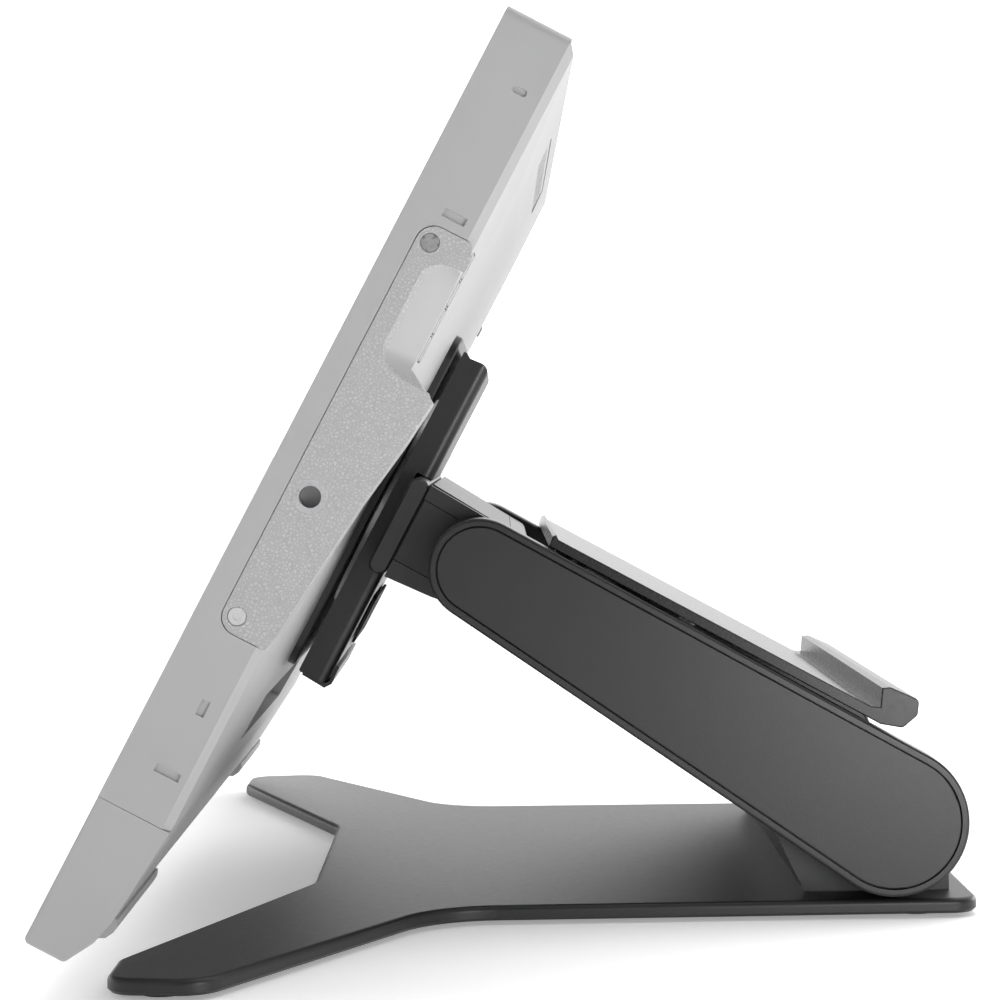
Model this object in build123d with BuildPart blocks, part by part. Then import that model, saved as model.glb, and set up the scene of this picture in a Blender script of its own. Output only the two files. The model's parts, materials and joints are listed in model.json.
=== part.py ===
from build123d import *
import os
from math import cos, hypot, radians, sin

# A pen display on its lever-locked stand, in millimetres.
# X runs to the user's right, Y away from the user and Z up. Z = 0 is the table,
# and the origin is the middle of the footprint.

# ---------------------------------------------------------------- driving dimensions
# Display, as drawn on its own face: across, up the face from its bottom edge, and depth behind the front.
DISPLAY_WIDTH = 480.0
DISPLAY_HEIGHT = 301.0
LEAN_BACK = 28.3  # degrees from upright
DISPLAY_FOOT_Y = -147.8  # where the front bottom edge stands
DISPLAY_FOOT_Z = 18.9
SIDE_DEPTH = 20.5  # thickness of the side walls
CHAMFER_DEPTH = 23.0
BACK_DEPTH = 24.5  # the raised middle of the back
WALL = 2.4
CAP_HEIGHT = 47.0  # the separate shell along the bottom edge
PART_LINE = 0.15

# Head, behind the display
HEAD_HEIGHT = 151.0  # turning axis, measured up the face
PLATE_SIZE = 130.0
PLATE_THICKNESS = 2.8
VESA_PITCH = 100.0
BRACKET_FRONT = 29.5
BRACKET_REAR = 40.5
BRACKET_HALF_WIDTH = 62.0
FLANGE_FRONT = 34.5
FLANGE_REAR = 41.5
FLANGE_BOTTOM = 131.0
FLANGE_TOP = 166.5

# Arms, between the lower pivot in the pedestal and the upper pivot in the neck
UPPER_PIVOT_Y, UPPER_PIVOT_Z = -16.5, 117.6
LOWER_PIVOT_Y, LOWER_PIVOT_Z = 119.5, 32.2
UPPER_RADIUS = 17.0
LOWER_RADIUS = 24.8
ARM_INNER_X = 103.0
ARM_OUTER_X = 121.0
INNER_HALF_WIDTH = 101.0  # the neck and the pedestal, between the arms
COVER_INSET = 2.4
COVER_GROOVE = 0.35
COVER_THICKNESS = 3.0
SHAFT_RADIUS = 6.0
RUNNING_CLEARANCE = 0.05

PACK_HALF_WIDTH = 34.0  # friction pack in the neck
PACK_RADIUS = 11.5

# Lever over the arms
LEVER_HALF_WIDTH = 118.0
LEVER_FRONT = 15.5  # along the arm from the upper pivot
LEVER_REAR = 149.0
LEVER_THICKNESS = 3.4
LEVER_PIN_ALONG = 26.0
LEVER_PIN_RADIUS = 2.5
LIP_CORNER_RADIUS = 2.0

# Base
FOOT_PAD = 1.5
BASE_TOP = 6.5
BASE_REAR_Y = 147.8
BASE_REAR_HALF_WIDTH = 119.0
BASE_WAIST_HALF_WIDTH = 121.5
LEG_TIP_X = 236.5
LEG_TIP_Y = -126.0
LEG_SHOULDER_Y = -96.5
WAIST_Y = -32.0
NOTCH_Y = -76.5

# Side grips
GRIP_FRONT_DEPTH = 7.3
GRIP_BOTTOM = 106.0
GRIP_TOP = 236.0
GRIP_INNER_X = 200.0
GRIP_SKIN = 1.2
GRIP_CORNER_RADIUS = 5.5
SCOOP_RADIUS = 24.8
SCOOP_X = 258.0
SCOOP_DEPTH = 30.0
SCOOP_LOW = 192.5
SCOOP_HIGH = 228.5
SCOOP_END_RADIUS = 7.5
KEY_COUNT = 4
KEY_PITCH = 9.0
KEY_LENGTH = 8.0
KEY_WIDTH = 11.0
KEY_HEIGHT = 3.1
KEY_PROUD = 0.1
KEY_X = 224.0
KEY_MIDDLE = 217.0
KEY_SURFACE_DEPTH = 23.4
KEY_GAP = 0.35
KEY_POCKET_DEPTH = 5.5
INSERT_BORE_RADIUS = 3.175

# ---------------------------------------------------------------- reference planes
lean = radians(LEAN_BACK)
rear_way = (0, cos(lean), -sin(lean))  # from the display's front towards its back
up_face = (0, sin(lean), cos(lean))
foot = (0, DISPLAY_FOOT_Y, DISPLAY_FOOT_Z)
# On display_side a sketch's x is depth and its y is height up the face.
display_side = Plane(origin=foot, x_dir=rear_way, z_dir=(1, 0, 0))
# On display_face a sketch's x is across and its y is height up the face.
display_face = Plane(origin=foot, x_dir=(1, 0, 0), z_dir=(0, -cos(lean), sin(lean)))

arm_reach = hypot(LOWER_PIVOT_Y - UPPER_PIVOT_Y, LOWER_PIVOT_Z - UPPER_PIVOT_Z)
arm_way = (
    0,
    (LOWER_PIVOT_Y - UPPER_PIVOT_Y) / arm_reach,
    (LOWER_PIVOT_Z - UPPER_PIVOT_Z) / arm_reach,
)
# On arm_side a sketch's x runs down the arm from the upper pivot and its y is square to it.
arm_side = Plane(origin=(0, UPPER_PIVOT_Y, UPPER_PIVOT_Z), x_dir=arm_way, z_dir=(1, 0, 0))
world_side = Plane.YZ

SIDES = {"left": -1, "right": 1}
half_width = DISPLAY_WIDTH / 2


def at_depth(depth):
    """The plane parallel to the display's face, that far behind its front."""
    return display_face.offset(-depth)


def outline(*points):
    """Fill a closed polygon, in the sketch's own coordinates."""
    return Polygon(*points, align=None)


def panel(low_x, high_x, low_y, high_y, radius=0.0):
    """A rectangle between two corners, with rounded corners if a radius is given."""
    with Locations(((low_x + high_x) / 2, (low_y + high_y) / 2)):
        if radius:
            RectangleRounded(high_x - low_x, high_y - low_y, radius)
        else:
            Rectangle(high_x - low_x, high_y - low_y)


def arm_outline(inset=0.0):
    """The tapered arm with round ends, seen from the side."""
    Circle(UPPER_RADIUS - inset)
    with Locations((arm_reach, 0)):
        Circle(LOWER_RADIUS - inset)
    make_hull()


def export(part, name):
    """Label one piece and write its file."""
    part.label = name
    export_step(part, f"parts/{name}.step")


os.makedirs("parts", exist_ok=True)

# ---------------------------------------------------------------- display: shells
back_low, back_high = 86.0, 262.0
back_half_width = 190.0
cavity_half_width = half_width - WALL
cavity_top = DISPLAY_HEIGHT - WALL
shell_bottom = CAP_HEIGHT + PART_LINE
port_low, port_high, port_half_width = 57.0, 75.0, 80.0
port_floor = 14.0
vent_low, vent_high, vent_half_width = 278.0, 289.0, 96.0
boss_radius = 6.0
block_front = 11.0
block_length = 22.0
edge_step = 0.2
insert_radius = 5.0
insert_depth, insert_height = 14.4, 150.9
insert_length = 7.0
button_x, button_depth, button_length, button_width = 178.0, 11.0, 16.0, 4.4


def grip_profile(front=GRIP_FRONT_DEPTH, low=GRIP_BOTTOM, high=GRIP_TOP, gap=0.0):
    """The grip seen from the side: a strip with a wedge behind its lower part."""
    front, low, high = front - gap, low - gap, high + gap
    with BuildSketch(mode=Mode.PRIVATE) as profile:
        outline(
            (front, low),
            (22.5, low),
            (24.2, low + 6),
            (27.6, 147.5),
            (28.2, 154),
            (31.5, 176),
            (33.0, 190.5),
            (24.0, 200),
            (24.0, high - 4),
            (22.0, high),
            (front, high),
        )
        fillet(profile.vertices().sort_by(Axis.X)[:2], GRIP_CORNER_RADIUS)
    add(profile.sketch)


def scoop(x_side):
    """The finger hollow's tool: a round-ended bar lying along the side edge, cut away by the caller."""
    with BuildPart(mode=Mode.PRIVATE) as tool:
        with BuildSketch(display_side.offset(SCOOP_X)) as section:
            panel(SCOOP_DEPTH, SCOOP_DEPTH + SCOOP_RADIUS, SCOOP_LOW, SCOOP_HIGH)
            fillet(section.vertices().group_by(Axis.X)[-1], SCOOP_END_RADIUS)
        axis_start = display_side.offset(SCOOP_X).from_local_coords((SCOOP_DEPTH, SCOOP_LOW, 0))
        revolve(axis=Axis(axis_start, up_face), revolution_arc=360)
    return tool.part if x_side > 0 else tool.part.mirror(Plane.YZ)


def key_plane(x_side, index):
    """The plane of one express key, on the back beside the finger hollow and facing rearwards."""
    height = KEY_MIDDLE + (index - (KEY_COUNT - 1) / 2) * KEY_PITCH
    middle = display_side.offset(x_side * KEY_X).from_local_coords((KEY_SURFACE_DEPTH, height, 0))
    return Plane(origin=middle, x_dir=up_face, z_dir=rear_way)


with BuildPart() as rear_cover:
    # Body: upright walls, a chamfer round the back and a low raised middle.
    with BuildSketch(at_depth(SIDE_DEPTH)) as shell_outline:
        panel(-half_width, half_width, shell_bottom, DISPLAY_HEIGHT)
        fillet(shell_outline.vertices().group_by(Axis.Y)[-1], 3.0)
    extrude(amount=SIDE_DEPTH)
    with BuildSketch(at_depth(SIDE_DEPTH)):
        panel(-half_width + edge_step, half_width - edge_step, shell_bottom, DISPLAY_HEIGHT - 1.0)
    with BuildSketch(at_depth(CHAMFER_DEPTH)):
        panel(-half_width + 3.0, half_width - 3.0, shell_bottom, DISPLAY_HEIGHT - 4.0)
    loft(ruled=True)
    with BuildSketch(at_depth(CHAMFER_DEPTH)):
        panel(-half_width + 3.5, half_width - 3.5, shell_bottom + 4.0, DISPLAY_HEIGHT - 5.0)
    with BuildSketch(at_depth(BACK_DEPTH)):
        panel(-back_half_width, back_half_width, back_low, back_high)
    loft(ruled=True)
    # Hollow inside, with a deeper pocket behind the raised middle.
    with BuildSketch(display_face):
        panel(-cavity_half_width, cavity_half_width, shell_bottom, cavity_top)
    extrude(amount=-(SIDE_DEPTH - WALL), mode=Mode.SUBTRACT)
    with BuildSketch(at_depth(SIDE_DEPTH - WALL)):
        panel(-back_half_width + 8, back_half_width - 8, back_low + 4, back_high - 4)
    extrude(amount=-(BACK_DEPTH - SIDE_DEPTH), mode=Mode.SUBTRACT)
    # Socket for the mounting plate's screws.
    with BuildSketch(at_depth(12.0)):
        with Locations((0, HEAD_HEIGHT)):
            with GridLocations(VESA_PITCH, VESA_PITCH, 2, 2):
                Circle(boss_radius)
    extrude(amount=-(BACK_DEPTH - 12.0 - 0.5))
    with BuildSketch(at_depth(BACK_DEPTH + 1.0)):
        with Locations((0, HEAD_HEIGHT)):
            with GridLocations(VESA_PITCH, VESA_PITCH, 2, 2):
                Circle(2.0)
    extrude(amount=11.0, mode=Mode.SUBTRACT)
    # Recess for the ports, the opening of the vent and the power button's hole.
    with BuildSketch(at_depth(port_floor)):
        panel(-port_half_width - 2, port_half_width + 2, port_low - 2, port_high + 2, 3.0)
    extrude(amount=-(SIDE_DEPTH - port_floor))
    with BuildSketch(at_depth(port_floor - 1)):
        panel(-port_half_width, port_half_width, port_low, port_high, 2.0)
    extrude(amount=-14.0, mode=Mode.SUBTRACT)
    with BuildSketch(at_depth(SIDE_DEPTH - WALL - 1)):
        panel(-vent_half_width, vent_half_width, vent_low, vent_high, 3.0)
    extrude(amount=-10.0, mode=Mode.SUBTRACT)
    with BuildSketch(Plane(display_side.from_local_coords((button_depth, DISPLAY_HEIGHT, 0)),
                           x_dir=(1, 0, 0), z_dir=up_face)):
        with Locations((button_x, 0)):
            SlotOverall(button_length + 2 * KEY_GAP, button_width + 2 * KEY_GAP)
    extrude(amount=-6.0, mode=Mode.SUBTRACT)
    # Thick corners that hold the finger hollows, the keys and the tripod inserts.
    for sign in SIDES.values():
        with BuildSketch(display_side.offset(sign * (cavity_half_width + 0.5))):
            panel(block_front, SIDE_DEPTH, SCOOP_LOW - 4, SCOOP_HIGH + 8)
            panel(9.4, SIDE_DEPTH, insert_height - 8, insert_height + 8)
        extrude(amount=-sign * block_length)
    for sign in SIDES.values():
        add(scoop(sign), mode=Mode.SUBTRACT)
    for sign in SIDES.values():
        for index in range(KEY_COUNT):
            with BuildSketch(key_plane(sign, index).offset(2.0)):
                RectangleRounded(KEY_LENGTH + 2 * KEY_GAP, KEY_WIDTH + 2 * KEY_GAP, 1.2)
            extrude(amount=-KEY_POCKET_DEPTH - 2.0, mode=Mode.SUBTRACT)
        # Shallow seat for the grip, and the bore of the insert.
        with BuildSketch(display_side.offset(sign * (half_width - GRIP_SKIN))):
            grip_profile(gap=0.25)
        extrude(amount=sign * 2.0, mode=Mode.SUBTRACT)
        with BuildSketch(display_side.offset(sign * half_width)):
            with Locations((insert_depth, insert_height)):
                Circle(insert_radius)
        extrude(amount=-sign * (insert_length + GRIP_SKIN), mode=Mode.SUBTRACT)
        # Small moulded slots in the side walls.
        with BuildSketch(display_side.offset(sign * half_width)):
            with Locations((14.2, 280.6)):
                SlotOverall(4.4, 2.0)
            panel(10.7, 17.8, 239.2, 241.6)
            panel(13.8, 16.3, 80.8, 85.6)
            panel(10.7, 18.4, 61.0, 63.4)
        extrude(amount=-sign * 0.8, mode=Mode.SUBTRACT)
export(rear_cover.part, "rear_cover")

with BuildPart() as bottom_cap:
    with BuildSketch(display_side) as cap_profile:
        outline((0, 0), (13.2, 0), (18.3, 9), (20.2, 17), (CHAMFER_DEPTH, CAP_HEIGHT), (0, CAP_HEIGHT))
        fillet(cap_profile.vertices().group_by(Axis.Y)[0], 1.8)
    extrude(amount=half_width, both=True)
    with BuildSketch(display_side):
        outline((-1, WALL), (12.0, WALL), (16.0, 10), (17.9, 18), (20.4, CAP_HEIGHT + 1),
                (-1, CAP_HEIGHT + 1))
    extrude(amount=cavity_half_width, both=True, mode=Mode.SUBTRACT)
    upright_edges = bottom_cap.edges().filter_by(Axis(origin=(0, 0, 0), direction=up_face))
    outer_edges = upright_edges.filter_by_position(Axis.X, half_width - 0.1, half_width + 0.1)
    fillet(outer_edges.sort_by(Axis.Y)[0], 0.8)
export(bottom_cap.part, "bottom_cap")

# ---------------------------------------------------------------- display: grips, keys and inserts
SCREW_SPOTS = ((11.4, 230.8), (11.6, 111.0))  # depth and height of the grip screws
screw_head_radius = 2.6
screw_shank_radius = 1.2
screw_recess = 0.5


def build_grip(sign):
    """One side grip: a thin skin on the side wall, with a wedge wrapped round the back edge."""
    with BuildPart() as grip:
        with BuildSketch(display_side.offset(sign * (half_width - GRIP_SKIN))):
            grip_profile()
        extrude(amount=sign * GRIP_SKIN)
        with BuildSketch(display_side.offset(sign * GRIP_INNER_X)):
            outline((20.5, 107), (23.0, 106), (24.2, 112), (27.6, 147.5), (28.2, 154), (31.5, 176),
                    (33.0, 190.5), (20.5, 198))
        extrude(amount=sign * (half_width - GRIP_INNER_X))
        with BuildSketch(display_side.offset(sign * (GRIP_INNER_X - 1))):
            outline((24.0, 100), (40, 100), (40, 205), (24.0, 205))
        extrude(amount=sign * 14.0, taper=-32, mode=Mode.SUBTRACT)
        add(rear_cover.part, mode=Mode.SUBTRACT)
        add(scoop(sign), mode=Mode.SUBTRACT)
        with BuildSketch(display_side.offset(sign * half_width)):
            with Locations((insert_depth, insert_height)):
                Circle(insert_radius)
            with Locations(*SCREW_SPOTS):
                Circle(screw_head_radius + 0.2)
        extrude(amount=-sign * (GRIP_SKIN + 2), mode=Mode.SUBTRACT)
    return grip.part


def build_express_key(sign, index):
    """One sprung key, a rounded pad that lies almost flush with the back."""
    plane = key_plane(sign, index)
    with BuildPart() as key:
        with BuildSketch(plane.offset(KEY_PROUD)):
            RectangleRounded(KEY_LENGTH, KEY_WIDTH, 1.0)
        extrude(amount=-KEY_HEIGHT)
        fillet(key.faces().sort_by(Axis(origin=plane.origin, direction=plane.z_dir))[-1].edges(), 0.5)
    return key.part


def build_grip_screws():
    """Four small screws through the grips' ends into the side walls."""
    with BuildPart() as screws:
        for sign in SIDES.values():
            with BuildSketch(display_side.offset(sign * (half_width - screw_recess))):
                with Locations(*SCREW_SPOTS):
                    Circle(screw_head_radius)
            extrude(amount=-sign * (GRIP_SKIN - screw_recess))
            with BuildSketch(display_side.offset(sign * (half_width - screw_recess))):
                with Locations(*SCREW_SPOTS):
                    RegularPolygon(1.3, 6)
            extrude(amount=-sign * 0.4, mode=Mode.SUBTRACT)
    return screws.part


def build_tripod_inserts():
    """A threaded metal insert in each side wall, for accessories."""
    with BuildPart() as inserts:
        for sign in SIDES.values():
            with BuildSketch(display_side.offset(sign * (half_width - 0.2))):
                with Locations((insert_depth, insert_height)):
                    Circle(insert_radius)
                    Circle(INSERT_BORE_RADIUS, mode=Mode.SUBTRACT)
            extrude(amount=-sign * (insert_length + GRIP_SKIN - 0.4))
    return inserts.part


for side, sign in SIDES.items():
    export(build_grip(sign), f"side_grip_{side}")
    for index in range(KEY_COUNT):
        export(build_express_key(sign, index), f"express_key_{side}_{index + 1}")
export(build_grip_screws(), "grip_screws")
export(build_tripod_inserts(), "tripod_inserts")

# ---------------------------------------------------------------- display: glass, panel and electronics
inner_half_width = 234.0
panel_bottom, panel_top = 16.0, 288.0
grille_bar_pitch = 5.0
GRILLE_SLOTS = 37

with BuildPart() as front_glass:
    with BuildSketch(at_depth(1.5)):
        panel(-cavity_half_width + 0.3, cavity_half_width - 0.3, WALL + 0.3, cavity_top - 0.3, 2.0)
    extrude(amount=1.2)
    chamfer(front_glass.faces().sort_by(Axis(origin=foot, direction=rear_way))[0].edges(), 0.3)
export(front_glass.part, "front_glass")

with BuildPart() as display_panel:
    with BuildSketch(at_depth(5.0)):
        panel(-inner_half_width, inner_half_width, panel_bottom, panel_top)
    extrude(amount=3.2)
    # The driver board folds out along the lower edge.
    with BuildSketch(at_depth(5.0)):
        panel(-180, 180, panel_bottom - 7, panel_bottom)
    extrude(amount=1.2)
export(display_panel.part, "display_panel")

with BuildPart() as backlight:
    with BuildSketch(at_depth(8.2)):
        panel(-inner_half_width, inner_half_width, panel_bottom, panel_top)
    extrude(amount=3.0)
export(backlight.part, "backlight")

with BuildPart() as pen_sensor_board:
    with BuildSketch(at_depth(9.2)):
        panel(-inner_half_width + 12, inner_half_width - 12, panel_bottom, panel_top)
    extrude(amount=0.8)
export(pen_sensor_board.part, "pen_sensor_board")

with BuildPart() as chassis_plate:
    with BuildSketch(at_depth(10.8)):
        panel(-214, 214, 50, 285, 4.0)
        panel(-60, 60, 175, 235, 6.0)
        with Locations((0, HEAD_HEIGHT)):
            with GridLocations(320, 0, 2, 1):
                RectangleRounded(70, 90, 8, mode=Mode.SUBTRACT)
    extrude(amount=1.2)
export(chassis_plate.part, "chassis_plate")

with BuildPart() as main_board:
    with BuildSketch(at_depth(13.2)):
        panel(-40, 40, 84, 140)
        panel(-36, 36, 160, 215)
        panel(-30, 30, 135, 165)
    extrude(amount=1.4)
    for across, up, size in ((-12, 185, 20), (16, 178, 14), (0, 110, 16), (22, 118, 10), (-24, 104, 9)):
        with BuildSketch(at_depth(14.6)):
            with Locations((across, up)):
                Rectangle(size, size)
        extrude(amount=1.4)
export(main_board.part, "main_board")

with BuildPart() as heat_spreader:
    with BuildSketch(at_depth(15.8)):
        panel(-34, 34, 168, 206, 3.0)
        panel(-74, 74, 208, 217, 3.0)
    extrude(amount=0.9)
export(heat_spreader.part, "heat_spreader")

with BuildPart() as cooling_fans:
    for across in (-95, 95):
        with BuildSketch(at_depth(20.0)):
            with Locations((across, 236)):
                Circle(19)
                Circle(12, mode=Mode.SUBTRACT)
        extrude(amount=5.0)
        with BuildSketch(at_depth(20.0)):
            with Locations((across, 236)):
                Circle(6)
                with PolarLocations(8.5, 6):
                    Rectangle(8, 1.2)
        extrude(amount=5.0)
export(cooling_fans.part, "cooling_fans")

PORTS = (  # centre across, width and height of each opening
    (-62, 9.4, 9.4),
    (-40, 15.4, 5.4),
    (-16, 8.6, 6.0),
    (6, 9.4, 3.6),
    (24, 9.4, 3.6),
    (48, 13.6, 6.2),
)
port_height = (port_low + port_high) / 2

with BuildPart() as port_panel:
    with BuildSketch(at_depth(port_floor + 2.0)):
        panel(-port_half_width + 0.3, port_half_width - 0.3, port_low + 0.3, port_high - 0.3, 1.5)
        for across, width, height in PORTS:
            with Locations((across, port_height)):
                RectangleRounded(width, height, min(width, height) * 0.3, mode=Mode.SUBTRACT)
    extrude(amount=1.6)
export(port_panel.part, "port_panel")

with BuildPart() as port_sockets:
    for across, width, height in PORTS:
        with BuildSketch(at_depth(port_floor + 0.3)):
            with Locations((across, port_height)):
                Rectangle(width + 2.4, height + 2.4)
        extrude(amount=2.6)
        with BuildSketch(at_depth(port_floor + 0.3)):
            with Locations((across, port_height)):
                RectangleRounded(width, height, min(width, height) * 0.3)
        extrude(amount=1.8, mode=Mode.SUBTRACT)
export(port_sockets.part, "port_sockets")

with BuildPart() as vent_grille:
    with BuildSketch(at_depth(23.1)):
        panel(-vent_half_width + 0.3, vent_half_width - 0.3, vent_low + 0.3, vent_high - 0.3, 2.7)
        with Locations((0, (vent_low + vent_high) / 2)):
            with GridLocations(grille_bar_pitch, 0, GRILLE_SLOTS, 1):
                SlotOverall(vent_high - vent_low - 4, 1.8, rotation=90, mode=Mode.SUBTRACT)
    extrude(amount=2.0)
export(vent_grille.part, "vent_grille")

button_plane = Plane(
    display_side.from_local_coords((button_depth, DISPLAY_HEIGHT, 0)), x_dir=(1, 0, 0), z_dir=up_face
)
with BuildPart() as power_button:
    with BuildSketch(button_plane.offset(-0.1)):
        with Locations((button_x, 0)):
            SlotOverall(button_length, button_width)
    extrude(amount=-3.6)
export(power_button.part, "power_button")

with BuildPart() as display_feet:
    for sign in SIDES.values():
        with BuildSketch(display_side.offset(sign * 140.0)):
            outline((18.3, 9.0), (20.2, 10.0), (21.5, 12.4), (21.6, 14.4), (20.9, 16.4), (20.0, 16.2))
        extrude(amount=sign * 92.0)
    add(bottom_cap.part, mode=Mode.SUBTRACT)
export(display_feet.part, "display_feet")

# ---------------------------------------------------------------- head: plate, hub and bracket
plate_rear = BACK_DEPTH + PLATE_THICKNESS
plate_low, plate_high = HEAD_HEIGHT - PLATE_SIZE / 2, HEAD_HEIGHT + PLATE_SIZE / 2
plate_half = PLATE_SIZE / 2
hub_ring_radius = 42.0
hub_pin_radius = 14.0
hub_gap = 0.3

with BuildPart() as mount_plate:
    with BuildSketch(at_depth(BACK_DEPTH)):
        panel(-plate_half, plate_half, plate_low, plate_high, 9.0)
    extrude(amount=-PLATE_THICKNESS)
    chamfer(mount_plate.faces().sort_by(Axis(origin=foot, direction=rear_way))[-1].edges(), 0.6)
    # Countersunk holes for the four screws, from behind.
    for radius, depth in ((2.25, PLATE_THICKNESS), (4.1, 0.4)):
        with BuildSketch(at_depth(plate_rear)):
            with Locations((0, HEAD_HEIGHT)):
                with GridLocations(VESA_PITCH, VESA_PITCH, 2, 2):
                    Circle(radius)
        extrude(amount=depth, mode=Mode.SUBTRACT)
    with BuildSketch(at_depth(plate_rear - 0.4)):
        with Locations((0, HEAD_HEIGHT)):
            with GridLocations(VESA_PITCH, VESA_PITCH, 2, 2):
                Circle(4.1)
    extrude(amount=1.85, taper=45, mode=Mode.SUBTRACT)
export(mount_plate.part, "mount_plate")

with BuildPart() as plate_screws:
    with BuildSketch(at_depth(plate_rear - 0.4)):
        with Locations((0, HEAD_HEIGHT)):
            with GridLocations(VESA_PITCH, VESA_PITCH, 2, 2):
                Circle(4.0)
    extrude(amount=1.85, taper=45)
    with BuildSketch(at_depth(plate_rear - 0.5)):
        with Locations((0, HEAD_HEIGHT)):
            with GridLocations(VESA_PITCH, VESA_PITCH, 2, 2):
                Circle(2.0)
    extrude(amount=11.0)
    with BuildSketch(at_depth(plate_rear - 0.4)):
        with Locations((0, HEAD_HEIGHT)):
            with GridLocations(VESA_PITCH, VESA_PITCH, 2, 2):
                RegularPolygon(1.5, 6)
    extrude(amount=1.2, mode=Mode.SUBTRACT)
export(plate_screws.part, "plate_screws")

with BuildPart() as turning_hub:
    with BuildSketch(at_depth(plate_rear)):
        with Locations((0, HEAD_HEIGHT)):
            Circle(hub_ring_radius)
    extrude(amount=-(BRACKET_FRONT - hub_gap - plate_rear))
    with BuildSketch(at_depth(plate_rear)):
        with Locations((0, HEAD_HEIGHT)):
            Circle(hub_pin_radius)
    extrude(amount=-(FLANGE_FRONT - 0.8 - plate_rear))
export(turning_hub.part, "turning_hub")

bracket_low, bracket_high = 85.5, 212.0

with BuildPart() as head_bracket:
    with BuildSketch(display_side) as bracket_profile:
        outline((BRACKET_FRONT, bracket_low), (BRACKET_REAR, bracket_low),
                (BRACKET_REAR, bracket_high - 0.5), (BRACKET_FRONT + 3.0, bracket_high - 1.2),
                (BRACKET_FRONT + 1.2, bracket_high), (BRACKET_FRONT, bracket_high))
        fillet(bracket_profile.vertices().group_by(Axis.Y)[0].sort_by(Axis.X)[:1], 1.0)
    extrude(amount=BRACKET_HALF_WIDTH, both=True)
    rear_edges = head_bracket.faces().sort_by(Axis(origin=foot, direction=rear_way))[-1].edges()
    fillet(rear_edges, 3.5)
    # Bore for the hub's pin, and the channel that the neck's flange lies in.
    with BuildSketch(at_depth(BRACKET_FRONT)):
        with Locations((0, HEAD_HEIGHT)):
            Circle(hub_pin_radius + RUNNING_CLEARANCE)
    extrude(amount=-(BRACKET_REAR - BRACKET_FRONT + 1), mode=Mode.SUBTRACT)
    with BuildSketch(display_side):
        panel(FLANGE_FRONT - 0.2, FLANGE_REAR + 4, FLANGE_BOTTOM - 0.3, FLANGE_TOP + 0.3)
    extrude(amount=BRACKET_HALF_WIDTH + 1, both=True, mode=Mode.SUBTRACT)
    # Track for the release latch on the lower part.
    with BuildSketch(at_depth(BRACKET_REAR)):
        panel(-12.5, 12.5, 97.0, 121.0, 1.5)
    extrude(amount=3.2, mode=Mode.SUBTRACT)
export(head_bracket.part, "head_bracket")

with BuildPart() as release_latch:
    with BuildSketch(at_depth(BRACKET_REAR - 3.0)):
        panel(-12, 12, 104.0, 120.5, 1.2)
    extrude(amount=-3.6)
    with BuildSketch(at_depth(BRACKET_REAR + 0.5)):
        panel(-40, 40, 101.0, 120.0, 2.5)
    extrude(amount=-1.0)
    with BuildSketch(at_depth(BRACKET_REAR + 1.5)):
        with Locations((0, 110)):
            with GridLocations(0, 3.2, 1, 4):
                SlotOverall(34, 1.2)
    extrude(amount=0.4, mode=Mode.SUBTRACT)
export(release_latch.part, "release_latch")

with BuildPart() as bracket_end_cap:
    with BuildSketch(display_side):
        outline((31.0, 84.2), (40.2, 83.6), (41.9, 86.0), (41.7, 92.5), (40.7, 92.5), (40.7, 86.6),
                (39.8, 85.3), (31.0, 85.3))
    extrude(amount=BRACKET_HALF_WIDTH - 6, both=True)
    add(head_bracket.part, mode=Mode.SUBTRACT)
export(bracket_end_cap.part, "bracket_end_cap")

# ---------------------------------------------------------------- neck
shaft_bore = SHAFT_RADIUS + RUNNING_CLEARANCE
flange_radius = 3.2
side_panel_thickness = 2.0
side_panel_gap = 0.3


def neck_points():
    """The neck block from the side, along the arm and square to it from the upper pivot."""
    flange_low = display_side.from_local_coords((FLANGE_REAR, FLANGE_BOTTOM + 0.5, 0))
    flange_high = display_side.from_local_coords((FLANGE_REAR, FLANGE_TOP - 0.5, 0))
    front_low = arm_side.to_local_coords(flange_low)
    front_high = arm_side.to_local_coords(flange_high)
    return (
        (front_high.X, front_high.Y),
        (front_low.X, front_low.Y),
        (-9.0, -17.2),
        (6.0, -14.0),
        (14.5, -4.0),
        (15.5, 6.0),
        (10.5, 15.6),
    )


with BuildPart() as neck_flange:
    with BuildSketch(display_side):
        with Locations(((FLANGE_FRONT + FLANGE_REAR) / 2, (FLANGE_BOTTOM + FLANGE_TOP) / 2)):
            RectangleRounded(FLANGE_REAR - FLANGE_FRONT, FLANGE_TOP - FLANGE_BOTTOM, flange_radius)
    extrude(amount=INNER_HALF_WIDTH, both=True)
    flange_ends = neck_flange.faces().sort_by(Axis.X)
    chamfer(flange_ends[0].edges() + flange_ends[-1].edges(), 0.8)
export(neck_flange.part, "neck_flange")

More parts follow.
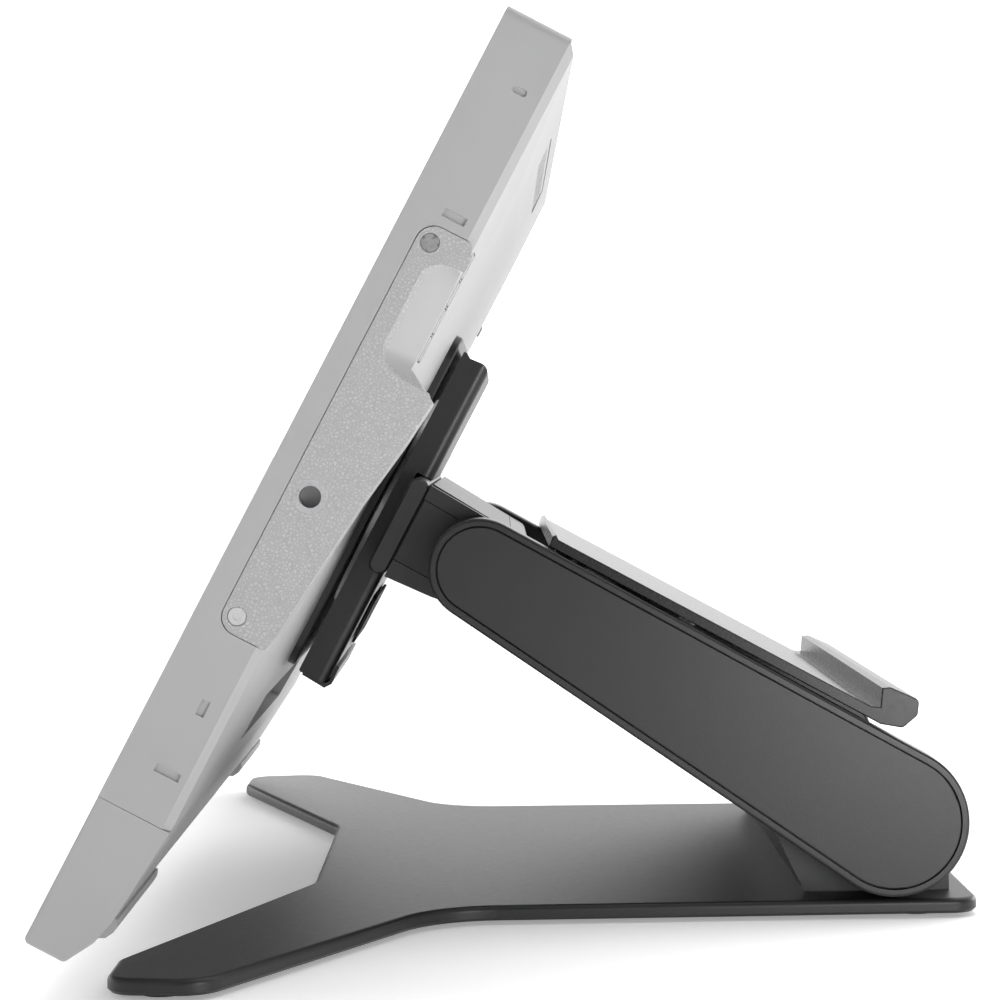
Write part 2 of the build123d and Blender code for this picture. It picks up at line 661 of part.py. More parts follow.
with BuildPart() as neck_block:
    with BuildSketch(arm_side):
        outline(*neck_points())
    extrude(amount=INNER_HALF_WIDTH, both=True)
    neck_corners = neck_block.edges().filter_by(Axis.X)
    fillet(neck_corners.sort_by(Axis.Y)[-2:], 3.0)
    # Seats for the side panels, the top cover and the upper shaft.
    for sign in SIDES.values():
        with BuildSketch(arm_side.offset(sign * INNER_HALF_WIDTH)):
            outline((-34, 9.5), (-32, -13.0), (-8.0, -11.8), (9.0, -9.0), (11.5, 4.0), (9.0, 10.2))
            offset(amount=side_panel_gap)
        extrude(amount=-sign * side_panel_thickness, mode=Mode.SUBTRACT)
    with BuildSketch(arm_side):
        outline((-40, 14.2), (-40, 20), (3.0, 20), (3.0, 14.2))
    extrude(amount=INNER_HALF_WIDTH - 8, both=True, mode=Mode.SUBTRACT)
    with BuildSketch(arm_side):
        Circle(shaft_bore)
    extrude(amount=INNER_HALF_WIDTH + 1, both=True, mode=Mode.SUBTRACT)
    # Hollow middle, open towards the arms, for the friction pack.
    with BuildSketch(arm_side):
        outline((-14.5, -20), (20, -20), (20, 12.4), (-14.5, 12.4))
    extrude(amount=PACK_HALF_WIDTH + 4.0, both=True, mode=Mode.SUBTRACT)
export(neck_block.part, "neck_block")


def build_neck_panel(sign):
    """A thin cover let into the neck's side."""
    with BuildPart() as cover:
        with BuildSketch(arm_side.offset(sign * INNER_HALF_WIDTH)):
            outline((-34, 9.5), (-32, -13.0), (-8.0, -11.8), (9.0, -9.0), (11.5, 4.0), (9.0, 10.2))
        extrude(amount=-sign * side_panel_thickness)
        with BuildSketch(display_side):
            panel(0, FLANGE_REAR + 0.4, 100, 200)
        extrude(amount=INNER_HALF_WIDTH + 1, both=True, mode=Mode.SUBTRACT)
        with BuildSketch(arm_side):
            Circle(SHAFT_RADIUS + 1.0)
        extrude(amount=INNER_HALF_WIDTH + 1, both=True, mode=Mode.SUBTRACT)
    return cover.part


for side, sign in SIDES.items():
    export(build_neck_panel(sign), f"neck_panel_{side}")

with BuildPart() as neck_top_cover:
    with BuildSketch(arm_side):
        outline((-40, 14.4), (-40, 15.6), (2.7, 15.6), (2.7, 14.4))
    extrude(amount=INNER_HALF_WIDTH - 8.3, both=True)
    with BuildSketch(display_side):
        panel(0, FLANGE_REAR + 0.4, 100, 200)
    extrude(amount=INNER_HALF_WIDTH, both=True, mode=Mode.SUBTRACT)
export(neck_top_cover.part, "neck_top_cover")

# ---------------------------------------------------------------- arms
frame_thickness = ARM_OUTER_X - ARM_INNER_X
beam_along, beam_width, beam_height = 58.0, 26.0, 13.0
stop_points = ((20.5, -12.5), (26.0, -12.5), (26.0, -7.0), (20.5, -7.0))


def build_arm_frame(sign):
    """One arm's frame: a tapered plate with a rim round the seat of its cover."""
    with BuildPart() as frame:
        with BuildSketch(arm_side.offset(sign * ARM_INNER_X)):
            arm_outline()
        extrude(amount=sign * frame_thickness)
        outer_face = frame.faces().sort_by(Axis.X)[-1 if sign > 0 else 0]
        fillet(outer_face.edges(), 1.0)
        inner_face = frame.faces().sort_by(Axis.X)[0 if sign > 0 else -1]
        fillet(inner_face.edges(), 1.5)
        with BuildSketch(arm_side.offset(sign * (ARM_OUTER_X - COVER_THICKNESS))):
            arm_outline(COVER_INSET)
        extrude(amount=sign * (COVER_THICKNESS + 1), mode=Mode.SUBTRACT)
        # Ribbed hollow behind the cover, and the holes of the two shafts.
        with BuildSketch(arm_side.offset(sign * (ARM_INNER_X + 3.0))):
            outline((24, -13), (128, -18), (128, 18), (24, 13))
            for along in (58, 94):
                with Locations((along, 0)):
                    Rectangle(3.0, 40, mode=Mode.SUBTRACT)
        extrude(amount=sign * frame_thickness, mode=Mode.SUBTRACT)
        with BuildSketch(arm_side.offset(sign * ARM_INNER_X)):
            with Locations((0, 0), (arm_reach, 0)):
                Circle(SHAFT_RADIUS)
        extrude(amount=sign * frame_thickness, mode=Mode.SUBTRACT)
        # Hairline joints across the rim at both ends.
        for along, angle, radius in ((0, 155, UPPER_RADIUS), (arm_reach, -5, LOWER_RADIUS)):
            with BuildSketch(arm_side.offset(sign * ARM_OUTER_X)):
                with Locations((along, 0)):
                    with PolarLocations(radius - COVER_INSET / 2, 1, start_angle=angle):
                        Rectangle(COVER_INSET + 2, 0.5)
            extrude(amount=-sign * 0.6, mode=Mode.SUBTRACT)
    return frame.part


def build_arm_cover(sign):
    """The flat cover let into the outside of one arm."""
    with BuildPart() as cover:
        with BuildSketch(arm_side.offset(sign * (ARM_OUTER_X - COVER_THICKNESS))):
            arm_outline(COVER_INSET + COVER_GROOVE)
        extrude(amount=sign * COVER_THICKNESS)
        outer_face = cover.faces().sort_by(Axis.X)[-1 if sign > 0 else 0]
        fillet(outer_face.edges(), 0.5)
    return cover.part


for side, sign in SIDES.items():
    export(build_arm_frame(sign), f"arm_frame_{side}")
    export(build_arm_cover(sign), f"arm_cover_{side}")

with BuildPart() as cross_beam:
    with BuildSketch(arm_side):
        with Locations((beam_along, -1.0)):
            RectangleRounded(beam_width, beam_height, 4.0)
            RectangleRounded(beam_width - 5, beam_height - 5, 2.0, mode=Mode.SUBTRACT)
    extrude(amount=ARM_INNER_X, both=True)
export(cross_beam.part, "cross_beam")

with BuildPart() as stop_pads:
    for sign in SIDES.values():
        with BuildSketch(arm_side.offset(sign * ARM_INNER_X)):
            outline(*stop_points)
        extrude(amount=-sign * 22.0)
export(stop_pads.part, "stop_pads")

for name, along in (("upper_shaft", 0.0), ("lower_shaft", arm_reach)):
    with BuildPart() as shaft:
        with BuildSketch(arm_side):
            with Locations((along, 0)):
                Circle(SHAFT_RADIUS)
        extrude(amount=ARM_OUTER_X - COVER_THICKNESS - 0.5, both=True)
        chamfer(shaft.edges().filter_by(GeomType.CIRCLE), 0.8)
    export(shaft.part, name)

with BuildPart() as friction_pack:
    with BuildSketch(arm_side.offset(-PACK_HALF_WIDTH)):
        Circle(PACK_RADIUS - 1.5)
        Circle(SHAFT_RADIUS, mode=Mode.SUBTRACT)
    extrude(amount=2 * PACK_HALF_WIDTH)
    for disc in range(9):
        with BuildSketch(arm_side.offset(-PACK_HALF_WIDTH + 4.0 + disc * 7.0)):
            Circle(PACK_RADIUS)
            Circle(SHAFT_RADIUS, mode=Mode.SUBTRACT)
        extrude(amount=4.0)
export(friction_pack.part, "friction_pack")

# ---------------------------------------------------------------- lever
arm_top_slope = (LOWER_RADIUS - UPPER_RADIUS) / arm_reach
lever_gap = 0.8


def arm_top(along):
    """Height of the arm's upper edge over its own axis."""
    return (UPPER_RADIUS + arm_top_slope * along) * (1 + arm_top_slope**2) ** 0.5


lever_rest = (arm_top(LEVER_FRONT) + lever_gap, arm_top(135) + lever_gap + 1.0)
lever_slope = (lever_rest[1] - lever_rest[0]) / (135 - LEVER_FRONT)


def lever_under(along):
    """Height of the lever's underside over the arm's axis."""
    return lever_rest[0] + lever_slope * (along - LEVER_FRONT)


pin_height = lever_under(LEVER_PIN_ALONG) - 3.2
lever_points = (
    (LEVER_FRONT, lever_under(LEVER_FRONT)),
    (140.0, lever_under(140.0) - 0.4),
    (147.0, lever_under(147.0) + 2.0),
    (LEVER_REAR, lever_under(LEVER_REAR) + 8.0),
    (146.8, lever_under(147.0) + 12.8),
    (136.4, lever_under(136.0) + 12.0),
    (134.2, lever_under(136.0) + 10.4),
    (137.0, lever_under(137.0) + 4.6),
    (134.0, lever_under(134.0) + LEVER_THICKNESS),
    (LEVER_FRONT + 1.6, lever_under(LEVER_FRONT) + LEVER_THICKNESS),
    (LEVER_FRONT + 0.2, lever_under(LEVER_FRONT) + LEVER_THICKNESS + 1.0),
    (LEVER_FRONT - 0.6, lever_under(LEVER_FRONT) + LEVER_THICKNESS),
)

with BuildPart() as lever_plate:
    with BuildSketch(arm_side) as lever_profile:
        outline(*lever_points)
        fillet(lever_profile.vertices().sort_by(Axis.X)[-3:], LIP_CORNER_RADIUS)
    extrude(amount=LEVER_HALF_WIDTH, both=True)
    lever_ends = lever_plate.faces().sort_by(Axis.X)
    fillet(lever_ends[0].edges() + lever_ends[-1].edges(), 0.45)
    # Ears that hang between the arms and turn on the pin.
    for sign in SIDES.values():
        with BuildSketch(arm_side.offset(sign * 84.0)):
            outline((LEVER_PIN_ALONG - 7, lever_under(LEVER_PIN_ALONG - 7) + 0.5),
                    (LEVER_PIN_ALONG - 4.5, pin_height - 2), (LEVER_PIN_ALONG, pin_height - 4.8),
                    (LEVER_PIN_ALONG + 4.5, pin_height - 2),
                    (LEVER_PIN_ALONG + 7, lever_under(LEVER_PIN_ALONG + 7) + 0.5))
            with Locations((LEVER_PIN_ALONG, pin_height)):
                Circle(LEVER_PIN_RADIUS + RUNNING_CLEARANCE, mode=Mode.SUBTRACT)
        extrude(amount=sign * 5.0)
export(lever_plate.part, "lever_plate")

with BuildPart() as lever_pin:
    with BuildSketch(arm_side):
        with Locations((LEVER_PIN_ALONG, pin_height)):
            Circle(LEVER_PIN_RADIUS)
    extrude(amount=ARM_INNER_X, both=True)
export(lever_pin.part, "lever_pin")

rod_height = -6.5  # square to the arm, below its axis between the beam and the shaft
rod_start, rod_end = 76.0, 128.0
rod_half_width = 9.0
rod_hook_top = lever_under(rod_start) - 1.0

with BuildPart() as lock_rod:
    with BuildSketch(arm_side):
        outline((rod_start, rod_height), (rod_end, rod_height), (rod_end, rod_height + 5.0),
                (rod_start + 5, rod_height + 5.0), (rod_start + 5, rod_hook_top), (rod_start, rod_hook_top))
    extrude(amount=rod_half_width, both=True)
export(lock_rod.part, "lock_rod")

# ---------------------------------------------------------------- base
BASE_SCREWS = (100.0, 26.0)  # spacing across and front to back
base_screw_y = 117.0
plate_thickness = BASE_TOP - FOOT_PAD

with BuildPart() as base_plate:
    with BuildSketch(Plane.XY.offset(FOOT_PAD)) as base_outline:
        with BuildLine() as base_line:
            Polyline(
                (0, BASE_REAR_Y),
                (BASE_REAR_HALF_WIDTH, BASE_REAR_Y),
                (BASE_WAIST_HALF_WIDTH, WAIST_Y),
                (LEG_TIP_X, LEG_SHOULDER_Y),
                (LEG_TIP_X - 4.0, LEG_TIP_Y),
                (203.0, LEG_TIP_Y),
                (68.0, NOTCH_Y),
                (0, NOTCH_Y),
            )
            mirror(about=Plane.YZ)
        make_face()
        for corner_y, corner_radius in (
            (BASE_REAR_Y, 9.0),
            (WAIST_Y, 34.0),
            (LEG_SHOULDER_Y, 13.0),
            (LEG_TIP_Y, 9.5),
            (NOTCH_Y, 32.0),
        ):
            corners = base_outline.vertices().filter_by_position(Axis.Y, corner_y - 0.1, corner_y + 0.1)
            fillet([corner for corner in corners if abs(corner.X) > 1], corner_radius)
    extrude(amount=plate_thickness)
    fillet(base_plate.faces().sort_by(Axis.Z)[-1].edges(), 1.8)
    chamfer(base_plate.faces().sort_by(Axis.Z)[0].edges(), 1.0)
    with BuildSketch(Plane.XY.offset(FOOT_PAD)):
        with Locations((0, base_screw_y)):
            with GridLocations(*BASE_SCREWS, 2, 2):
                Circle(2.6)
    extrude(amount=plate_thickness, mode=Mode.SUBTRACT)
    with BuildSketch(Plane.XY.offset(FOOT_PAD)):
        with Locations((0, base_screw_y)):
            with GridLocations(*BASE_SCREWS, 2, 2):
                Circle(4.8)
    extrude(amount=2.2, mode=Mode.SUBTRACT)
export(base_plate.part, "base_plate")

with BuildPart() as base_feet:
    with BuildSketch(Plane.XY):
        for sign in SIDES.values():
            with Locations((sign * 208.0, -103.0)):
                SlotOverall(44, 14, rotation=-sign * 28)
            with Locations((sign * 96.0, 128.0)):
                SlotOverall(30, 14)
            with Locations((sign * 92.0, -40.0)):
                SlotOverall(30, 14)
    extrude(amount=FOOT_PAD)
export(base_feet.part, "base_feet")

pedestal_wall = 3.0
pedestal_points = (
    (91.5, BASE_TOP),
    (140.4, BASE_TOP),
    (140.4, 26.0),
    (134.5, 43.0),
    (126.0, 50.4),
    (112.0, 50.0),
    (102.0, 42.5),
    (81.5, 27.5),
)

with BuildPart() as pedestal:
    with BuildSketch(world_side) as pedestal_profile:
        outline(*pedestal_points)
        fillet(pedestal_profile.vertices().filter_by_position(Axis.Y, 30, 60), 5.0)
        fillet(pedestal_profile.vertices().filter_by_position(Axis.X, 81, 82), 1.5)
    extrude(amount=INNER_HALF_WIDTH, both=True)
    # Hollow from below, with a wall at each end and ribs beside the springs.
    with BuildSketch(world_side):
        outline(*pedestal_points)
        offset(amount=-pedestal_wall)
        panel(95.0, 137.4, BASE_TOP - 1, 20.0)
    extrude(amount=INNER_HALF_WIDTH - 8.0, both=True, mode=Mode.SUBTRACT)
    for across in (-50, 50):
        with BuildSketch(world_side.offset(across - 3.0)):
            outline(*pedestal_points)
            offset(amount=-pedestal_wall + 0.5)
        extrude(amount=6.0)
    with BuildSketch(world_side):
        with Locations((LOWER_PIVOT_Y, LOWER_PIVOT_Z)):
            Circle(shaft_bore)
    extrude(amount=INNER_HALF_WIDTH + 1, both=True, mode=Mode.SUBTRACT)
    # Bosses for the screws that come up through the base.
    with BuildSketch(Plane.XY.offset(BASE_TOP)):
        with Locations((0, base_screw_y)):
            with GridLocations(*BASE_SCREWS, 2, 2):
                Circle(5.0)
    extrude(amount=8.0)
    with BuildSketch(Plane.XY.offset(BASE_TOP)):
        with Locations((0, base_screw_y)):
            with GridLocations(*BASE_SCREWS, 2, 2):
                Circle(2.0)
    extrude(amount=6.5, mode=Mode.SUBTRACT)
export(pedestal.part, "pedestal")

with BuildPart() as base_screws:
    with BuildSketch(Plane.XY.offset(FOOT_PAD + 0.2)):
        with Locations((0, base_screw_y)):
            with GridLocations(*BASE_SCREWS, 2, 2):
                Circle(4.5)
    extrude(amount=2.0)
    with BuildSketch(Plane.XY.offset(FOOT_PAD + 0.2)):
        with Locations((0, base_screw_y)):
            with GridLocations(*BASE_SCREWS, 2, 2):
                Circle(2.0)
    extrude(amount=11.0)
    with BuildSketch(Plane.XY.offset(FOOT_PAD + 0.2)):
        with Locations((0, base_screw_y)):
            with GridLocations(*BASE_SCREWS, 2, 2):
                RegularPolygon(2.0, 6)
    extrude(amount=1.4, mode=Mode.SUBTRACT)
export(base_screws.part, "base_screws")

spring_wire = 2.6
spring_radius = 10.0
spring_turns = 10

with BuildPart() as lift_springs:
    # Close-wound torsion springs, drawn as a row of touching turns.
    for sign in SIDES.values():
        start = sign * 57.0
        with BuildSketch(world_side.offset(start)):
            with Locations((LOWER_PIVOT_Y, LOWER_PIVOT_Z)):
                Circle(spring_radius)
                Circle(spring_radius - 1.4, mode=Mode.SUBTRACT)
        extrude(amount=sign * spring_turns * spring_wire)
        for turn in range(spring_turns):
            with BuildSketch(world_side.offset(start + sign * (turn + 0.2) * spring_wire)):
                with Locations((LOWER_PIVOT_Y, LOWER_PIVOT_Z)):
                    Circle(spring_radius + 0.9)
                    Circle(spring_radius - 1.0, mode=Mode.SUBTRACT)
            extrude(amount=sign * spring_wire * 0.6)
export(lift_springs.part, "lift_springs")

with BuildPart() as brake_drum:
    with BuildSketch(arm_side.offset(-30.0)):
        with Locations((arm_reach, 0)):
            Circle(11.0)
            Circle(SHAFT_RADIUS, mode=Mode.SUBTRACT)
    extrude(amount=60.0)
export(brake_drum.part, "brake_drum")
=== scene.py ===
import json
from math import cos, radians, sin

import bpy
from mathutils import Matrix, Vector

# A pen display on its lever-locked stand, in metres, around the fixed CAD frame.
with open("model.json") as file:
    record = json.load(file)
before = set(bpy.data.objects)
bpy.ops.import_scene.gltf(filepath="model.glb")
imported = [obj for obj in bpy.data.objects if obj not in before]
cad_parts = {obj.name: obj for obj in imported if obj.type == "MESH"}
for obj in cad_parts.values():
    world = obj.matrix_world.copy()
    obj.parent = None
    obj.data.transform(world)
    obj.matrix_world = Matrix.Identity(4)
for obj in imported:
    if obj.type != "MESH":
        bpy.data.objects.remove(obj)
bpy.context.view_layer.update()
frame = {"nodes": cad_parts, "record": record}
nodes = frame["nodes"]

# ---------------------------------------------------------------- camera
# It looks at the display's right edge from the side, a little downwards.
CAMERA_X = 1.0
CAMERA_Y = -0.0095
CAMERA_Z = 0.1604
CAMERA_PITCH = radians(1.288)
CAMERA_ROLL = radians(0.8)
CAMERA_LENS = 96.1  # mm
SENSOR_WIDTH = 36.0  # mm
CLIP_END = 100.0  # past the far edge of the floor


def add_camera():
    """The photograph's viewpoint: at +X, looking towards -X."""
    data = bpy.data.cameras.new("camera")
    data.lens = CAMERA_LENS
    data.sensor_width = SENSOR_WIDTH
    data.clip_end = CLIP_END
    camera = bpy.data.objects.new("camera", data)
    bpy.context.scene.collection.objects.link(camera)
    forward = Vector((-cos(CAMERA_PITCH), 0, -sin(CAMERA_PITCH)))
    right = Vector((0, 1, 0))
    up = right.cross(forward)
    tilted_right = right * cos(CAMERA_ROLL) - up * sin(CAMERA_ROLL)
    tilted_up = up * cos(CAMERA_ROLL) + right * sin(CAMERA_ROLL)
    axes = Matrix((tilted_right, tilted_up, -forward)).transposed()
    place = Matrix.Translation((CAMERA_X, CAMERA_Y, CAMERA_Z))
    camera.matrix_world = place @ axes.to_4x4()
    bpy.context.scene.camera = camera


add_camera()

# ---------------------------------------------------------------- light, floor and background
WHITE = (1.0, 1.0, 1.0, 1.0)
PALE = (0.94, 0.94, 0.94, 1.0)
WALL_GLOW = 1.6  # towards -X, behind the object
ROOM_GLOW = 0.12  # towards +X, behind the camera
FADE_START, FADE_END = -0.75, 0.7  # the X parts of the directions between which the light fades
FLOOR_GLOW = 0.3
FLOOR_REACH = 30.0
FLOOR_ROUGHNESS = 0.9


def add_world():
    """A white studio wall behind the object, falling to a dim room behind the camera."""
    world = bpy.data.worlds.new("studio")
    bpy.context.scene.world = world
    world.use_nodes = True
    tree = world.node_tree
    background = tree.nodes["Background"]
    place = tree.nodes.new("ShaderNodeTexCoord")
    split = tree.nodes.new("ShaderNodeSeparateXYZ")
    fade = tree.nodes.new("ShaderNodeMapRange")
    fade.interpolation_type = "SMOOTHSTEP"
    fade.inputs["From Min"].default_value = FADE_START
    fade.inputs["From Max"].default_value = FADE_END
    fade.inputs["To Min"].default_value = WALL_GLOW
    fade.inputs["To Max"].default_value = ROOM_GLOW
    tree.links.new(place.outputs["Generated"], split.inputs["Vector"])
    tree.links.new(split.outputs["X"], fade.inputs["Value"])
    tree.links.new(fade.outputs["Result"], background.inputs["Strength"])
    background.inputs["Color"].default_value = WHITE


def add_light(name, place, target, size, power):
    """A square soft box aimed at a point."""
    data = bpy.data.lights.new(name, "AREA")
    data.shape = "SQUARE"
    data.size = size
    data.energy = power
    light = bpy.data.objects.new(name, data)
    light.location = place
    light.rotation_euler = (Vector(target) - Vector(place)).to_track_quat("-Z", "Y").to_euler()
    bpy.context.scene.collection.objects.link(light)


def add_floor():
    """A plain pale floor that runs past the picture on every side."""
    mesh = bpy.data.meshes.new("floor")
    signs = ((-1, -1), (1, -1), (1, 1), (-1, 1))
    corners = [(x * FLOOR_REACH, y * FLOOR_REACH, 0) for x, y in signs]
    mesh.from_pydata(corners, [], [(0, 1, 2, 3)])
    floor = bpy.data.objects.new("floor", mesh)
    bpy.context.scene.collection.objects.link(floor)
    material = bpy.data.materials.new("floor")
    material.use_nodes = True
    shader = material.node_tree.nodes["Principled BSDF"]
    shader.inputs["Base Color"].default_value = PALE
    shader.inputs["Roughness"].default_value = FLOOR_ROUGHNESS
    shader.inputs["Emission Color"].default_value = PALE
    shader.inputs["Emission Strength"].default_value = FLOOR_GLOW
    floor.data.materials.append(material)


add_world()
add_floor()
add_light("overhead", place=(-0.2, 0.2, 2.0), target=(0, 0, 0), size=1.6, power=18.0)
add_light("side", place=(1.7, -1.3, 1.0), target=(0.2, -0.05, 0.15), size=0.9, power=5.0)
add_light("arm_sheen", place=(0.6, 0.27, 0.03), target=(0.12, 0.12, 0.05), size=0.22, power=1.6)
add_light("wall_fill", place=(-1.0, -0.5, 0.5), target=(0.1, -0.1, 0.0), size=0.8, power=1.5)
add_light("back_fill", place=(-0.6, 0.9, 0.15), target=(0.0, -0.08, 0.06), size=0.5, power=4.0)
bpy.context.scene.view_settings.view_transform = "Standard"

# ---------------------------------------------------------------- materials
# Texture scales are in features per metre and depths of grain in micrometres.
MICRON = 1e-6
NOISE_LOW, NOISE_HIGH = 0.3, 0.7  # nearly all of a noise texture's values lie between these
NOISE_ROUGHNESS = 0.6


class Nodes:
    """Short forms for building one material's node tree."""

    def __init__(self, name):
        self.material = bpy.data.materials.new(name)
        self.material.use_nodes = True
        self.tree = self.material.node_tree
        self.shader = self.tree.nodes["Principled BSDF"]
        self.place = self.tree.nodes.new("ShaderNodeTexCoord").outputs["Object"]

    def link(self, output, target):
        self.tree.links.new(output, target)

    def feed(self, socket, output):
        """Link an output to the shader's socket of that name."""
        self.link(output, self.shader.inputs[socket])

    def noise(self, scale, detail=4.0):
        node = self.tree.nodes.new("ShaderNodeTexNoise")
        node.inputs["Scale"].default_value = scale
        node.inputs["Detail"].default_value = detail
        node.inputs["Roughness"].default_value = NOISE_ROUGHNESS
        self.link(self.place, node.inputs["Vector"])
        return node.outputs["Fac"]

    def pebbles(self, scale):
        """The distance to the nearest crease between random cells."""
        node = self.tree.nodes.new("ShaderNodeTexVoronoi")
        node.feature = "DISTANCE_TO_EDGE"
        node.inputs["Scale"].default_value = scale
        self.link(self.place, node.inputs["Vector"])
        return node.outputs["Distance"]

    def ramp(self, value, stops):
        """Two colours blended between two values."""
        node = self.tree.nodes.new("ShaderNodeValToRGB")
        for element, (position, colour) in zip(node.color_ramp.elements, stops):
            element.position = position
            element.color = (*colour, 1.0)
        self.link(value, node.inputs["Fac"])
        return node.outputs["Color"]

    def stretch(self, noise, low, high):
        """A noise's values, stretched to run between low and high."""
        node = self.tree.nodes.new("ShaderNodeMapRange")
        node.inputs["From Min"].default_value = NOISE_LOW
        node.inputs["From Max"].default_value = NOISE_HIGH
        node.inputs["To Min"].default_value = low
        node.inputs["To Max"].default_value = high
        self.link(noise, node.inputs["Value"])
        return node.outputs["Result"]

    def combine(self, operation, first, second):
        """A maths node over two values, each an output or a number."""
        node = self.tree.nodes.new("ShaderNodeMath")
        node.operation = operation
        for socket, value in zip(node.inputs, (first, second)):
            if isinstance(value, float):
                socket.default_value = value
            else:
                self.link(value, socket)
        return node.outputs["Value"]

    def band(self, value, low, high):
        """1 where the value lies between low and high, otherwise 0."""
        above = self.combine("GREATER_THAN", value, low)
        below = self.combine("LESS_THAN", value, high)
        return self.combine("MULTIPLY", above, below)

    def bump(self, height, strength, depth, normal=None):
        """Relief on the shader's surface, on top of an earlier relief if one is given."""
        node = self.tree.nodes.new("ShaderNodeBump")
        node.inputs["Strength"].default_value = strength
        node.inputs["Distance"].default_value = depth * MICRON
        self.link(height, node.inputs["Height"])
        if normal is not None:
            self.link(normal, node.inputs["Normal"])
        self.feed("Normal", node.outputs["Normal"])
        return node.outputs["Normal"]


def scaled(colour, factor):
    """A lighter or darker version of a colour."""
    return tuple(min(1.0, channel * factor) for channel in colour)


def shades(colour, spread):
    """Two stops, a little darker and a little lighter than a colour."""
    return (
        (NOISE_LOW, scaled(colour, 1 - spread)),
        (NOISE_HIGH, scaled(colour, 1 + spread)),
    )


def moulded(name, colour, roughness, grain, depth, spread=0.04, specular=0.5):
    """Moulded plastic or powder-coated metal with a fine spark-eroded grain."""
    mottle_scale = 35.0
    sheen_scale = 420.0
    n = Nodes(name)
    n.feed("Base Color", n.ramp(n.noise(mottle_scale), shades(colour, spread)))
    n.feed("Roughness", n.stretch(n.noise(sheen_scale), roughness - 0.015, roughness + 0.02))
    n.bump(n.noise(grain, detail=2.0), 0.5, depth)
    n.shader.inputs["Specular IOR Level"].default_value = specular
    return n.material


def leather_grain(name, colour):
    """The grips' soft skin: pebbles about a millimetre across, with fine creases between them,
    coloured darker near the creases as painted shade.
    """
    pebble_scale = 1000.0
    pore_scale = 1500.0
    sheen_scale = 300.0
    # The darker colour near each crease is painted shade: it stands in for the shadow that falls
    # into the creases.
    crease_shade_reach = 0.3  # how far from a crease the darker shade reaches
    n = Nodes(name)
    pebbles = n.pebbles(pebble_scale)
    # Painted crease shade: darker at the creases, the plain colour further out on the pebbles.
    stops = ((0.0, scaled(colour, 0.80)), (crease_shade_reach, scaled(colour, 1.05)))
    n.feed("Base Color", n.ramp(pebbles, stops))
    n.feed("Roughness", n.stretch(n.noise(sheen_scale), 0.55, 0.7))
    coarse = n.bump(pebbles, 0.6, 400)
    n.bump(n.noise(pore_scale, detail=3.0), 0.5, 200, coarse)
    return n.material


# The display's face in the CAD frame: its lower front edge, its lean and its picture area.
FACE_FOOT = Vector((0, -0.1478, 0.0189))
FACE_LEAN = radians(28.3)
SCREEN_HALF_WIDTH = 0.2345
SCREEN_LOW, SCREEN_HIGH = 0.0155, 0.2870  # up the face, from its lower edge
BORDER_BLACK = (0.006, 0.006, 0.007)
PICTURE_GREY = (0.020, 0.021, 0.024)


def up_the_face(n):
    """How far up the face a point lies, as an output of a material's nodes."""
    up_way = Vector((0, sin(FACE_LEAN), cos(FACE_LEAN)))
    height = n.tree.nodes.new("ShaderNodeVectorMath")
    height.operation = "DOT_PRODUCT"
    height.inputs[1].default_value = up_way
    n.link(n.place, height.inputs[0])
    return n.combine("SUBTRACT", height.outputs["Value"], FACE_FOOT.dot(up_way))


def dark_screen(name):
    """Etched glass over a panel that is switched off: a black border round a dark grey area."""
    sheen_scale = 300.0
    etching_scale = 5200.0
    n = Nodes(name)
    split = n.tree.nodes.new("ShaderNodeSeparateXYZ")
    n.link(n.place, split.inputs["Vector"])
    across = n.band(split.outputs["X"], -SCREEN_HALF_WIDTH, SCREEN_HALF_WIDTH)
    upwards = n.band(up_the_face(n), SCREEN_LOW, SCREEN_HIGH)
    inside = n.combine("MULTIPLY", across, upwards)
    n.feed("Base Color", n.ramp(inside, ((0.0, BORDER_BLACK), (1.0, PICTURE_GREY))))
    n.feed("Roughness", n.stretch(n.noise(sheen_scale), 0.20, 0.24))
    n.bump(n.noise(etching_scale, detail=2.0), 0.4, 4)
    return n.material


def machined(name, colour, roughness):
    """Plain turned or stamped metal with a faint uneven sheen."""
    mottle_scale = 60.0
    sheen_scale = 700.0
    grain = 1200.0
    n = Nodes(name)
    n.feed("Base Color", n.ramp(n.noise(mottle_scale), shades(colour, 0.08)))
    n.feed("Roughness", n.stretch(n.noise(sheen_scale), roughness - 0.08, roughness + 0.1))
    n.bump(n.noise(grain), 0.2, 30)
    n.shader.inputs["Metallic"].default_value = 1.0
    return n.material


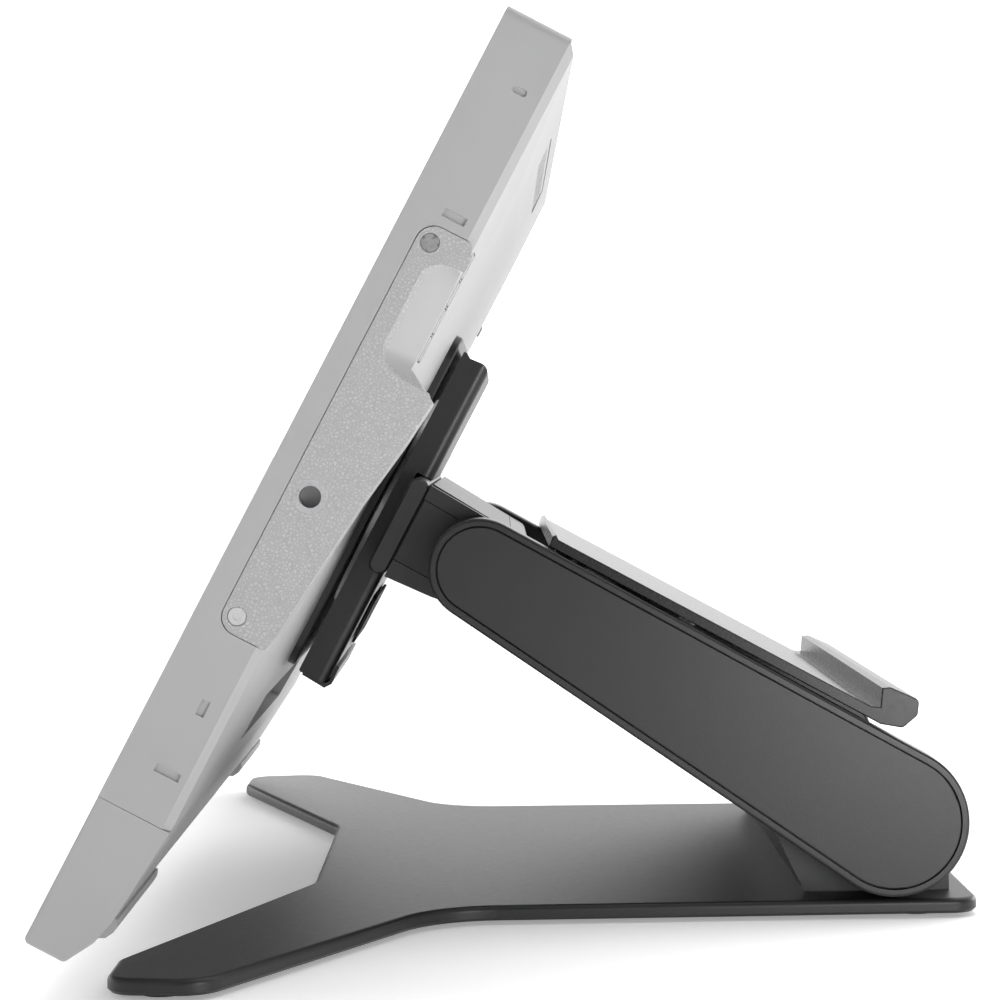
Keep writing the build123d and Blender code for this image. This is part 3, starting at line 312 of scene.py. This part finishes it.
# One material for each slot of the record: its colour, roughness, grain scale and grain depth,
# then the spread of its shades and its specular level where they aren't the usual ones.
MATERIALS = {
    "shell_grey": moulded("shell_grey", (0.375, 0.375, 0.376), 0.46, 2600.0, 20, 0.02),
    "grip_texture": leather_grain("grip_texture", (0.43, 0.43, 0.43)),
    "key_grey": moulded("key_grey", (0.30, 0.30, 0.301), 0.42, 2400.0, 20),
    "small_steel": machined("small_steel", (0.6, 0.6, 0.61), 0.3),
    "screen_glass": dark_screen("screen_glass"),
    "panel_black": moulded("panel_black", (0.02, 0.02, 0.02), 0.2, 2000.0, 10),
    "diffuser": moulded("diffuser", (0.8, 0.8, 0.78), 0.3, 2000.0, 10),
    "circuit_board": moulded("circuit_board", (0.02, 0.11, 0.05), 0.35, 900.0, 50, 0.2),
    "inner_aluminium": machined("inner_aluminium", (0.7, 0.7, 0.71), 0.38),
    "inner_plastic": moulded("inner_plastic", (0.02, 0.02, 0.02), 0.5, 1800.0, 30),
    "grey_rubber": moulded("grey_rubber", (0.36, 0.36, 0.36), 0.6, 1200.0, 60, 0.05),
    "foot_rubber": moulded("foot_rubber", (0.03, 0.03, 0.03), 0.75, 1200.0, 60, 0.1),
    "stand_metal": moulded("stand_metal", (0.012, 0.012, 0.0124), 0.33, 1500.0, 30, 0.08),
    "stand_plastic": moulded("stand_plastic", (0.009, 0.009, 0.0093), 0.36, 1700.0, 30, 0.08),
    "cover_plastic": moulded("cover_plastic", (0.012, 0.012, 0.0124), 0.36, 1500.0, 50, 0.08),
    "lever_plastic": moulded("lever_plastic", (0.010, 0.010, 0.0104), 0.27, 1600.0, 8, 0.08, 0.35),
    "base_metal": moulded("base_metal", (0.012, 0.012, 0.0124), 0.42, 1400.0, 40, 0.08),
    "bare_steel": machined("bare_steel", (0.55, 0.55, 0.56), 0.34),
}
LATCH_PLASTIC = moulded("latch_plastic", (0.010, 0.010, 0.0104), 0.6, 1500.0, 100, 0.08, 0.3)

# The latch is duller than the other pieces in its slot.
MATERIALS_BY_NODE = {"release_latch": LATCH_PLASTIC}
slot_of = {part["node"]: part["material_slot"] for part in frame["record"]["subparts"]}
for node_name, node in nodes.items():
    material = MATERIALS_BY_NODE.get(node_name, MATERIALS[slot_of[node_name]])
    node.data.materials.clear()
    node.data.materials.append(material)
